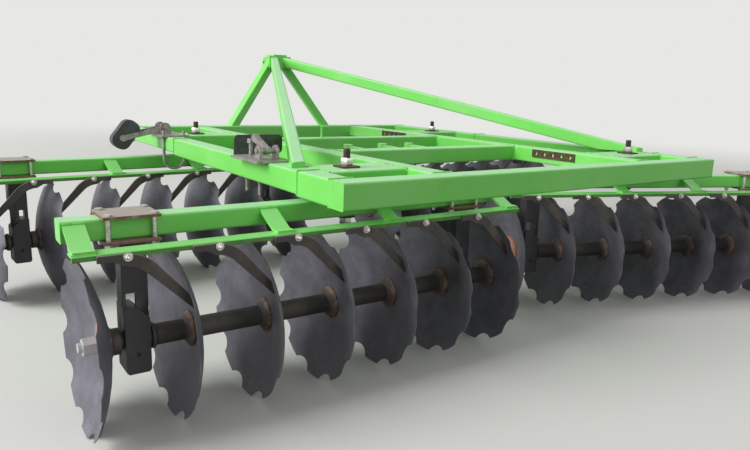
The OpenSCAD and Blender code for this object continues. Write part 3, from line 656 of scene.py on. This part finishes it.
def disc_solid(bevel, place):
    """A notched spherical disc round Z, rim at z = 0, back towards +Z, with its cutting edge tagged."""

    def back(r):
        return DISH - BALL + math.sqrt(BALL ** 2 - max(r, DISC_FLAT) ** 2)

    def hollow(r):
        if r <= DISC_FLAT:
            return back(r) - DISC_WALL
        return DISH - BALL + math.sqrt((BALL - DISC_WALL) ** 2 - r ** 2)

    meet = (DISC_RADIUS ** 2 + NOTCH_CENTRE ** 2 - NOTCH_RADIUS ** 2) / (2 * DISC_RADIUS * NOTCH_CENTRE)
    half = math.acos(meet)
    pitch = 2 * math.pi / NOTCHES
    turns = [half * math.sin(math.radians(a)) for a in range(-90, 91, 15)]
    turns += [half + (pitch - 2 * half) * k / 6 for k in range(1, 6)]
    columns = []
    for notch in range(NOTCHES):
        for turn in turns:
            reach = DISC_RADIUS
            if abs(turn) < half:
                across = NOTCH_CENTRE * math.sin(turn)
                inside = max(NOTCH_RADIUS ** 2 - across ** 2, 0)
                reach = NOTCH_CENTRE * math.cos(turn) - math.sqrt(inside)
            columns.append(((notch + 0.5) * pitch + turn, min(reach, DISC_RADIUS)))
    web_shares = (0.25, 0.5, 0.75, 0.92, 1.0)
    blunt = 0.0002
    land = 0.0016
    verts = []
    for angle, reach in columns:
        web = reach - bevel - DISC_FLAT
        radii = [DISC_BORE, DISC_FLAT] + [DISC_FLAT + web * share for share in web_shares]
        loop = [(r, back(r)) for r in radii]
        loop.append((reach - blunt, hollow(reach) + land))
        loop.append((reach - 2 * blunt, hollow(reach - 2 * blunt)))
        loop += [(r, hollow(r)) for r in reversed(radii)]
        verts += [(r * math.cos(angle), r * math.sin(angle), z) for r, z in loop]
    around = len(verts) // len(columns)
    edge = (len(web_shares) + 1, len(web_shares) + 2)
    faces = []
    for c in range(len(columns)):
        here, there = c * around, (c + 1) % len(columns) * around
        for k in range(around):
            after = (k + 1) % around
            faces.append([here + k, there + k, there + after, here + after])
    solid = Solid()
    solid.put(verts, faces, place, [int(k in edge) for _ in columns for k in range(around)])
    return solid


def scraper_outline():
    """A scraper about its bolt: low tail, bend, and an arm that ends along the next disc's hollow."""
    across = BAR_BACK + SCRAPER_WALL - AXLE_BACK
    next_disc = FIRST_DISC + DISC_GAP + DISH - DISC_WALL - SCRAPER_GAP - SCRAPER_BOLT[0]

    def limit(up):
        """How far the arm reaches at a height above the axle."""
        return next_disc - BALL + math.sqrt(BALL ** 2 - across ** 2 - up ** 2)

    slope = math.radians(SCRAPER_SLOPE)
    top = BAR_TOP - 0.004
    low = top - TAIL_HEIGHT
    middle = top - SCRAPER_ARM / 2
    tip = DISC_RADIUS + SCRAPER_UP
    fall = middle - tip - SCRAPER_BEND * (1 - math.cos(slope))
    bend_u = limit(SCRAPER_UP) - SCRAPER_BEND * math.sin(slope) - fall / math.tan(slope)
    centre = middle - SCRAPER_BEND

    def bend(radius, steps):
        turns = [slope * k / 8 for k in steps]
        return [(bend_u + radius * math.sin(t), centre + radius * math.cos(t)) for t in turns]

    half = SCRAPER_END / 2
    end = [(limit(SCRAPER_UP + half * f), tip + half * f) for f in (-1.0, -0.33, 0.33, 1.0)]
    tail = [(-SCRAPER_TAIL, top), (-SCRAPER_TAIL, low), (bend_u - 0.030, low)]
    inner = bend(SCRAPER_BEND - SCRAPER_ARM / 2, range(9))
    outer = bend(SCRAPER_BEND + SCRAPER_ARM / 2, range(8, -1, -1))
    return tail + inner + end + outer


def bar_solid(gang):
    """A scraper bar: a rolled angle with a low rear flange, and the strips up to the beam."""
    back, inner, front = -BAR_BACK, BAR_WALL - BAR_BACK, BAR_WIDTH - BAR_BACK
    low, under = BAR_TOP - BAR_LIP, BAR_TOP - BAR_WALL
    fillet = 0.002
    corner = 0.003
    angle = [(back, low), (inner, low), (inner, under - fillet), (inner + fillet, under),
        (front, under), (front, BAR_TOP), (back + corner, BAR_TOP), (back, BAR_TOP - corner)]
    flange_tagged = [0] * (len(angle) + 1) + [1]
    face = -BEAM_DEPTH / 2
    foot, toe = STRAP_FOOT
    bent = BAR_TOP + 0.010
    strap = [(face, STRAP_HEAD[0]), (toe - 0.004, bent), (foot, bent), (foot, BAR_TOP), (toe, BAR_TOP),
        (face, STRAP_HEAD[1])]
    solid = Solid()
    length = BEAM_LENGTH - 0.004
    solid.prism(angle, length, gang.lengthwise(BEAM_LENGTH / 2, length), flange_tagged)
    for u in STRAPS:
        solid.prism(strap, STRAP_WIDTH, gang.lengthwise(u, STRAP_WIDTH))
    return solid


def hanger_solid(gang):
    """A hanger about its own upright: clamp plate, post open at its foot, and the bearing housing."""
    top = DISC_RADIUS + HOUSING_UP
    foot = DISC_RADIUS - HOUSING_DOWN
    wide = HOUSING_WIDTH / 2
    side = POST_WIDTH / 2
    rear = -AXLE_BACK - POST_DEPTH / 2
    sunk = 0.002
    sill = WINDOW_TOP + sunk
    hub = gang.upright()
    half_w, half_d, thick = CLAMP_PLATE
    solid = Solid()
    solid.slab((-half_w, -half_d, BEAM_BOTTOM - thick), (half_w, half_d, BEAM_BOTTOM), SLAB_EASE, hub)
    for us, deep, z0, z1 in (
            ((-side, side), POST_DEPTH, WINDOW_TOP, BEAM_BOTTOM - thick + sunk / 2),
            ((-side, POST_WALL - side), POST_DEPTH, top - sunk, sill),
            ((0.0, side), POST_WALL, top - SHOULDER - sunk, sill)):
        u0, u1 = sorted(u * gang.hand for u in us)
        solid.slab((u0, rear, z0), (u1, rear + deep, z1), SLAB_EASE, hub)
    cut = 0.008
    housing = gang.seen_from_rear([(-wide, foot + cut), (cut - wide, foot), (wide - cut, foot),
        (wide, foot + cut), (wide, top - SHOULDER), (wide - SHOULDER, top), (-wide, top)])
    front = Matrix.Translation(gang.forward * (HOUSING_DEPTH / 2 - AXLE_BACK))
    solid.prism(housing, HOUSING_DEPTH, front @ gang.rear_turn())
    return solid


def journal_cutter(gang):
    """A bar to cut the journal's bore through a hanger that stands on its own upright."""
    reach = 0.2
    bar = Solid()
    bar.lathe([(0, -reach), (JOURNAL, -reach), (JOURNAL, reach), (0, reach)], 48,
        Matrix.Translation(Vector((0, 0, DISC_RADIUS)) - gang.forward * AXLE_BACK) @ gang.axle_turn())
    return clean(bar.piece("journal_cutter"))


def scraper_bolt(flats, turn):
    """The washer, nut and thread end that hold a scraper, pointing to the rear."""
    seat = 0.0025
    bolt = Solid()
    bolt.washer(flats * 0.75, seat, turn)
    bolt.nut(flats, flats * 0.5, turn @ lift(seat))
    bolt.thread(flats * 0.25, 0.009, 0.0018, turn @ lift(flats * 0.5 + 0.001))
    return bolt


def ease(base, width):
    """Eases the sharp edges of a piece."""
    bevel = base.modifiers.new("eased_edges", "BEVEL")
    bevel.width = width
    bevel.segments = 1
    bevel.limit_method = "ANGLE"
    bevel.angle_limit = math.radians(50.0)


def wire(name, paths):
    """A mesh of edges only, one run for each path of points."""
    points = []
    edges = []
    for path in paths:
        first = len(points)
        points += [tuple(p) for p in path]
        edges += [(first + k, first + k + 1) for k in range(len(path) - 1)]
    mesh = bpy.data.meshes.new(name)
    mesh.from_pydata(points, edges, [])
    return link(name, mesh)


def butt_paths(x, y, across, height, sides=(True, True, True, True)):
    """Weld round the end of a tube that butts on a face: across is (dx, dy) along that face."""
    dx, dy = across
    top = [Vector((x, y, FRAME_TOP)), Vector((x + dx, y + dy, FRAME_TOP))]
    low = [p - Vector((0, 0, height)) for p in top]
    runs = [[top[0], top[1]], [top[1], low[1]], [low[1], low[0]], [low[0], top[0]]]
    return [run for run, wanted in zip(runs, sides) if wanted]


def frame_weld_paths():
    """Weld runs of the frame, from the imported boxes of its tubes."""
    paths = []
    rear_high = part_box("rear_beam")[1]
    front_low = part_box("front_beam")[0]
    for side in ("left", "right"):
        low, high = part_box("side_beam_" + side)
        width = high.x - low.x
        inner_low, inner_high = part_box("inner_beam_" + side)
        ground_outside = (True, side == "left", True, side == "right")
        for x0, wide, tall, sides in ((low.x, width, rear_high.z - low.z, ground_outside),
                (inner_low.x, inner_high.x - inner_low.x, inner_high.z - inner_low.z, (True,) * 4)):
            paths += butt_paths(x0, rear_high.y, (wide, 0), tall, sides)
            paths += butt_paths(x0, front_low.y, (wide, 0), min(tall, NOSE_HEIGHT))
        for seam, tall in SEAMS:
            paths += butt_paths(low.x, REAR_FACE + seam, (width, 0), tall)
        outer = low.x if side == "right" else high.x
        inner = inner_high.x if side == "right" else inner_low.x
        for middle in PIVOT_ROWS:
            start = REAR_FACE + middle - BRIDGE_DEPTH / 2
            for x in (outer, inner):
                paths += butt_paths(x, start, (0, BRIDGE_DEPTH), BRIDGE_HEIGHT)
        for cross in ("cross_beam_rear", "cross_beam_front"):
            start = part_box(cross)[0].y
            face = inner_low.x if side == "right" else inner_high.x
            paths += butt_paths(face, start, (0, CROSS_DEPTH), inner_high.z - inner_low.z)
    return paths


def gang_weld_paths(gang):
    """Weld runs of a gang: each strap on the beam's rear face and on the scraper bar."""
    paths = []
    face = -BEAM_DEPTH / 2
    foot, toe = STRAP_FOOT
    for u in STRAPS:
        near, far = u - STRAP_WIDTH / 2, u + STRAP_WIDTH / 2
        for v, z in ((face, STRAP_HEAD[0]), (face, STRAP_HEAD[1]), (foot, BAR_TOP), (toe, BAR_TOP)):
            paths.append([gang.at(near, v, z), gang.at(far, v, z)])
        for end in (near, far):
            paths.append([gang.at(end, foot, BAR_TOP), gang.at(end, toe, BAR_TOP)])
    return paths


def seen_rays(tree):
    """1 for rays that show the backdrop: straight to the camera, in a reflection or through glass."""
    path = add(tree, "ShaderNodeLightPath")
    seen = path["Is Camera Ray"]
    for kind in ("Is Glossy Ray", "Is Transmission Ray"):
        seen = add(tree, "ShaderNodeMath", {0: seen, 1: path[kind]}, operation="MAXIMUM")[0]
    return seen


def studio_floor(studio):
    """Matt pale floor that throws back less light than it shows.

    Far from the machine it shows the backdrop's even tone to the camera, so no horizon cuts.
    """
    f = Finish("matt_studio_floor")
    seen = f.mix(seen_rays(f.tree), studio.floor_bounce, studio.floor)
    shade = f.node("BsdfPrincipled", {"Base Color": seen, "Roughness": 0.9})
    far_tone = f.node("Emission", {"Color": BACKDROP, "Strength": 1.0})
    share = f.times(f.step(f.length(f.place), *BACKDROP_FROM), seen_rays(f.tree))
    both = f.node("MixShader", {0: share, 1: shade[0], 2: far_tone[0]})
    f.node("OutputMaterial", {"Surface": both[0]})
    return f.material


def studio_sky(studio):
    """Even light from all round, and a pale backdrop where rays see it."""
    world = bpy.data.worlds.new("studio_sky")
    bpy.context.scene.world = world
    world.use_nodes = True
    tree = world.node_tree
    tree.nodes.clear()
    even = add(tree, "ShaderNodeBackground", {"Color": (1.0, 1.0, 1.0, 1.0), "Strength": studio.sky})
    shown = add(tree, "ShaderNodeBackground", {"Color": BACKDROP, "Strength": 1.0})
    both = add(tree, "ShaderNodeMixShader", {0: seen_rays(tree), 1: even[0], 2: shown[0]})
    add(tree, "ShaderNodeOutputWorld", {"Surface": both[0]})


def photographer(scene):
    """The camera where the photographer stood: behind the left end, a little above the frame."""
    data = bpy.data.cameras.new("photographer")
    data.sensor_width = 36.0
    data.lens = CAMERA_LENS
    data.clip_end = 200.0
    camera = link("photographer", data)
    camera.matrix_world = (Matrix.Translation(CAMERA_PLACE)
        @ Matrix.Rotation(math.radians(CAMERA_TURN), 4, "Z")
        @ Matrix.Rotation(math.radians(90 - CAMERA_TILT), 4, "X")
        @ Matrix.Rotation(math.radians(CAMERA_ROLL), 4, "Z"))
    scene.camera = camera


def colour(name, description, hex_colour):
    return bpy.props.FloatVectorProperty(name=name, description=description, subtype="COLOR",
        size=4, min=0, max=1, default=linear(hex_colour))


def size(name, description, default):
    return bpy.props.FloatProperty(name=name, description=description, min=0, default=default,
        unit="LENGTH", subtype="DISTANCE")


def strength(name, description, default):
    return bpy.props.FloatProperty(name=name, description=description, min=0, default=default)


class HarrowPaint(bpy.types.PropertyGroup):
    """Colours of the harrow's finishes."""
    lime: colour("Lime enamel", "Enamel on the frame, tower and gang beams", "#74d65a")
    lime_chalked: colour("Chalked enamel", "Where sun and dust have paled the enamel", "#9fe08c")
    # Pale colour for faces that look up: dust together with a painted sky sheen.
    lime_dust_and_sheen: colour("Dust and painted sheen on enamel", "Pale dust and painted sky sheen on faces that look up", "#c3e8c8")
    # Also used for the painted shade on the scraper bars' rear flanges.
    lime_grime_and_shade: colour("Grime and painted shade on enamel", "Thin dirt left in hollows and along welds, and the painted shade on the scraper bars' rear flanges", "#5c9a45")
    dark: colour("Dark enamel", "Enamel on hangers and bearing housings", "#3b3c3f")
    disc: colour("Disc steel", "Hardened disc steel where it is clean", "#75747e")
    disc_dark: colour("Disc scale", "Darker furnace scale on the discs", "#5c5b63")
    spool: colour("Spool", "Dark cast spools between the discs", "#4a4744")


class HarrowDetails(bpy.types.PropertyGroup):
    """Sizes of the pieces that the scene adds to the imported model."""
    disc_bevel: size("Disc bevel", "Width of the ground edge on a disc's back", 0.011)
    bolt_flats: size("Scraper bolt", "Width across the flats of the scrapers' nuts", 0.019)
    eased_edge: size("Eased edge", "Width of the eased edges of scrapers and hangers", 0.0015)
    weld_radius: size("Weld radius", "Radius of the weld beads", 0.0045)
    weld_ripple: size("Weld ripple", "Length of one ripple of a weld bead", 0.007)


class HarrowStudio(bpy.types.PropertyGroup):
    """Floor and light round the harrow."""
    floor: colour("Floor", "Plain pale studio floor", "#d9d9d5")
    floor_bounce: colour("Floor bounce", "The floor's tone for the light it throws back", "#625f5b")
    floor_radius: size("Floor radius", "Radius of the round studio floor", 60.0)
    key: strength("Key light", "Power of the large lamp on the left, in watts", 6200.0)
    fill: strength("Fill light", "Power of the weak lamp behind the camera, in watts", 150.0)
    sky: strength("Ambient", "Strength of the even light from all round", 0.40)


class HARROW_OT_frame_finish(bpy.types.Operator):
    """Enamels the frame, tower and hitch, and finishes its racks and brackets"""
    bl_idname = "harrow.frame_finish"
    bl_label = "Finish frame"

    def execute(self, context):
        paint = context.scene.harrow_paint
        lime = lime_enamel(paint)
        for part in frame["record"]["subparts"]:
            if part["material_slot"] == "lime_paint":
                set_finish(part["node"], lime)
        set_finish("angle_racks", perforated_strip_shaded())
        for which in ("front", "rear"):
            set_finish("side_bracket_" + which, bracket_steel(paint, which))
        return {"FINISHED"}


class HARROW_OT_gang_finish(bpy.types.Operator):
    """Finishes the clamps and spools of the four gangs"""
    bl_idname = "harrow.gang_finish"
    bl_label = "Finish gangs"

    def execute(self, context):
        paint = context.scene.harrow_paint
        clamps = clamp_finish(BEAM_TOP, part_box("clamps_rear_left")[1].z - CLAMP_HEAD)
        for name in GANGS:
            set_finish("clamps_" + name, clamps)
            set_finish("spools_" + name, cast_spool(paint, Gang(name)))
        return {"FINISHED"}


class HARROW_OT_discs(bpy.types.Operator):
    """Makes the notched discs of every gang with their ground edges"""
    bl_idname = "harrow.discs"
    bl_label = "Notched discs"

    def execute(self, context):
        edge = ground_edge()
        bevel = context.scene.harrow_details.disc_bevel
        for name in GANGS:
            gang = Gang(name)
            steel = hardened_disc(context.scene.harrow_paint, gang)
            base = disc_solid(bevel, gang.axle_turn()).piece("notched_discs_" + name, steel, edge)
            start = gang.at(FIRST_DISC, -AXLE_BACK, gang.axle_z)
            discs = row(base, (steel, edge), DISCS, start, gang.along * DISC_GAP)
            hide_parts("discs_" + name)
            settle(discs, name + "_axle")
        return {"FINISHED"}


class HARROW_OT_scrapers(bpy.types.Operator):
    """Makes the scraper bars, and the scrapers with the bolt that holds each one"""
    bl_idname = "harrow.scrapers"
    bl_label = "Scrapers and bars"

    def execute(self, context):
        sizes = context.scene.harrow_details
        paint = context.scene.harrow_paint
        # The bars' tops take a quarter of the dust and painted sky sheen.
        lime = lime_enamel(paint, "lime_enamel_bars", 0.25)
        # The rear flange's finish, dark with painted shade.
        flange_shade_finish = flange_enamel_in_shade(paint)
        steel = scraper_steel()
        zinc = zinc_plate()
        dark = thread_steel()
        outline = scraper_outline()
        for name in GANGS:
            gang = Gang(name)
            turn = gang.rear_turn()
            step = gang.along * DISC_GAP
            bar = clean(bar_solid(gang).piece("scraper_bar_dressed_" + name, lime, flange_shade_finish))
            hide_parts("scraper_bar_" + name)
            settle(bar, name + "_gang")
            plate = Solid()
            plate.prism(gang.seen_from_rear(outline), SCRAPER_WALL, turn)
            base = plate.piece("scrapers_dressed_" + name, steel)
            ease(base, sizes.eased_edge)
            start = gang.at(SCRAPER_BOLT[0], -BAR_BACK, 0)
            scrapers = row(base, (steel,), DISCS - 1, start, step)
            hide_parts("scrapers_" + name)
            settle(scrapers, name + "_gang")
            base = scraper_bolt(sizes.bolt_flats, turn).piece("scraper_bolts_" + name, zinc, dark)
            start = gang.at(SCRAPER_BOLT[0], -BAR_BACK - SCRAPER_WALL, SCRAPER_BOLT[1])
            bolts = row(base, (zinc, dark), DISCS - 1, start, step)
            settle(bolts, name + "_gang")
        return {"FINISHED"}


class HARROW_OT_hangers(bpy.types.Operator):
    """Makes the hangers with their bored housings, and a grease nipple on each"""
    bl_idname = "harrow.hangers"
    bl_label = "Hangers and housings"

    def execute(self, context):
        sizes = context.scene.harrow_details
        enamel = dark_enamel(context.scene.harrow_paint, BEAM_BOTTOM - CLAMP_PLATE[2])
        dark = thread_steel()
        for name in GANGS:
            gang = Gang(name)
            step = gang.along * (HANGERS[1] - HANGERS[0])
            base = hanger_solid(gang).piece("hangers_dressed_" + name, enamel)
            cutter = journal_cutter(gang)
            bore = base.modifiers.new("journal_bore", "BOOLEAN")
            bore.operation = "DIFFERENCE"
            bore.solver = "EXACT"
            bore.use_self = True
            bore.object = cutter
            ease(base, sizes.eased_edge)
            hangers = row(base, (enamel,), 2, gang.at(HANGERS[0], 0, 0), step)
            bpy.data.objects.remove(cutter)
            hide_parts("hangers_" + name)
            settle(hangers, name + "_gang")
            nipple = Solid()
            nipple.lathe([(0, -0.002), (0.006, -0.002), (0.006, 0.004), (0.0035, 0.006),
                (0.0035, 0.012), (0.0045, 0.014), (0.003, 0.017), (0, 0.017)], 10, gang.rear_turn())
            base = nipple.piece("grease_nipples_" + name, dark)
            start = gang.at(HANGERS[0], -AXLE_BACK - HOUSING_DEPTH / 2, gang.axle_z - 0.040)
            nipples = row(base, (dark,), 2, start, step)
            settle(nipples, name + "_gang")
        return {"FINISHED"}


class HARROW_OT_pivots(bpy.types.Operator):
    """Makes the pivot bolts with their washer plates, nuts and thread ends"""
    bl_idname = "harrow.pivots"
    bl_label = "Pivot bolts"

    def execute(self, context):
        zinc = zinc_plate()
        dark = thread_steel()
        low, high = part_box("pivot_bolts")
        half, plate = PIVOT_WASHER
        stack = plate + PIVOT_NUT[1]
        under = BEAM_BOTTOM - 0.0003
        shank = FRAME_TOP - under + 0.020
        r = PIVOT_BOLT
        stub = [(0, 0), (r - 0.002, 0), (r, 0.002), (r, 0.009), (0, 0.009)]
        pivots = Solid()
        for joint in JOINTS.values():
            if not joint["name"].endswith("_swivel"):
                continue
            spot = Matrix.Translation((joint["pos_m"][0], joint["pos_m"][1], 0))
            above = spot @ lift(FRAME_TOP)
            below = spot @ lift(under)
            pivots.slab((-half, -half, 0), (half, half, plate), SLAB_EASE, above, 1)
            pivots.nut(*PIVOT_NUT, above @ lift(plate))
            pivots.thread(r, high.z - FRAME_TOP - stack, 0.0035, above @ lift(stack), 1)
            pivots.lathe([(0, 0), (r, 0), (r, shank), (0, shank)], 32, below @ lift(-0.010), 1)
            pivots.washer(half, plate, below @ lift(-plate), 1)
            pivots.nut(*PIVOT_NUT, below @ lift(-stack))
            pivots.lathe(stub, 24, spot @ lift(low.z), 1)
        piece = clean(pivots.piece("pivot_bolts_dressed", zinc, dark))
        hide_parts("pivot_bolts")
        settle(piece, "frame")
        return {"FINISHED"}


class HARROW_OT_welds(bpy.types.Operator):
    """Lays the weld beads of the frame and of every gang"""
    bl_idname = "harrow.welds"
    bl_label = "Weld beads"

    def execute(self, context):
        sizes = context.scene.harrow_details
        finish = lime_welds(context.scene.harrow_paint)
        tree = bead_tree()
        runs = {"frame": frame_weld_paths()}
        runs.update({name + "_gang": gang_weld_paths(Gang(name)) for name in GANGS})
        for body, paths in runs.items():
            beads = use_nodes(wire("weld_beads_" + body, paths), tree, {
                "Radius": sizes.weld_radius, "Ripple": sizes.weld_ripple, "Finish": finish})
            settle(beads, body)
        return {"FINISHED"}


class HARROW_OT_stage(bpy.types.Operator):
    """Sets the pale floor, the soft lamps, the even light and the camera"""
    bl_idname = "harrow.stage"
    bl_label = "Stage"

    def execute(self, context):
        studio = context.scene.harrow_studio
        radius = studio.floor_radius
        turns = [2 * math.pi * k / 96 for k in range(96)]
        floor = Solid()
        floor.put([(radius * math.cos(t), radius * math.sin(t), 0) for t in turns], [list(range(96))])
        ground = clean(floor.piece("studio_floor", studio_floor(studio)))
        for name, (side, place) in LAMPS.items():
            light = bpy.data.lights.new(name + "_lamp", "AREA")
            light.energy = getattr(studio, name)
            light.size = side
            lamp = link(name + "_lamp", light)
            lamp.location = place
            lamp.visible_camera = False
            lamp.rotation_euler = (-Vector(place)).to_track_quat("-Z", "Y").to_euler()
        studio_sky(studio)
        photographer(context.scene)
        context.scene.view_settings.view_transform = "Standard"
        return {"FINISHED"}


class HARROW_PT_panel(bpy.types.Panel):
    """Lists the harrow's steps and settings"""
    bl_label = "Disc harrow"
    bl_idname = "HARROW_PT_panel"
    bl_space_type = "VIEW_3D"
    bl_region_type = "UI"
    bl_category = "Harrow"

    def draw(self, context):
        for step in STEPS:
            self.layout.operator(step.bl_idname)
        for group in (getattr(context.scene, name) for name in GROUPS):
            box = self.layout.box()
            for name in group.__annotations__:
                box.prop(group, name)


STEPS = (
    HARROW_OT_frame_finish,
    HARROW_OT_gang_finish,
    HARROW_OT_discs,
    HARROW_OT_scrapers,
    HARROW_OT_hangers,
    HARROW_OT_pivots,
    HARROW_OT_welds,
    HARROW_OT_stage,
)
GROUPS = {"harrow_paint": HarrowPaint, "harrow_details": HarrowDetails, "harrow_studio": HarrowStudio}
CLASSES = tuple(GROUPS.values()) + STEPS + (HARROW_PT_panel,)


def register():
    for item in CLASSES:
        bpy.utils.register_class(item)
    for name, group in GROUPS.items():
        setattr(bpy.types.Scene, name, bpy.props.PointerProperty(type=group))


def unregister():
    for name in GROUPS:
        delattr(bpy.types.Scene, name)
    for item in reversed(CLASSES):
        bpy.utils.unregister_class(item)


def main():
    register()
    bpy.ops.harrow.frame_finish()
    bpy.ops.harrow.gang_finish()
    bpy.ops.harrow.discs()
    bpy.ops.harrow.scrapers()
    bpy.ops.harrow.hangers()
    bpy.ops.harrow.pivots()
    bpy.ops.harrow.welds()
    bpy.ops.harrow.stage()


if __name__ == "__main__":
    main()
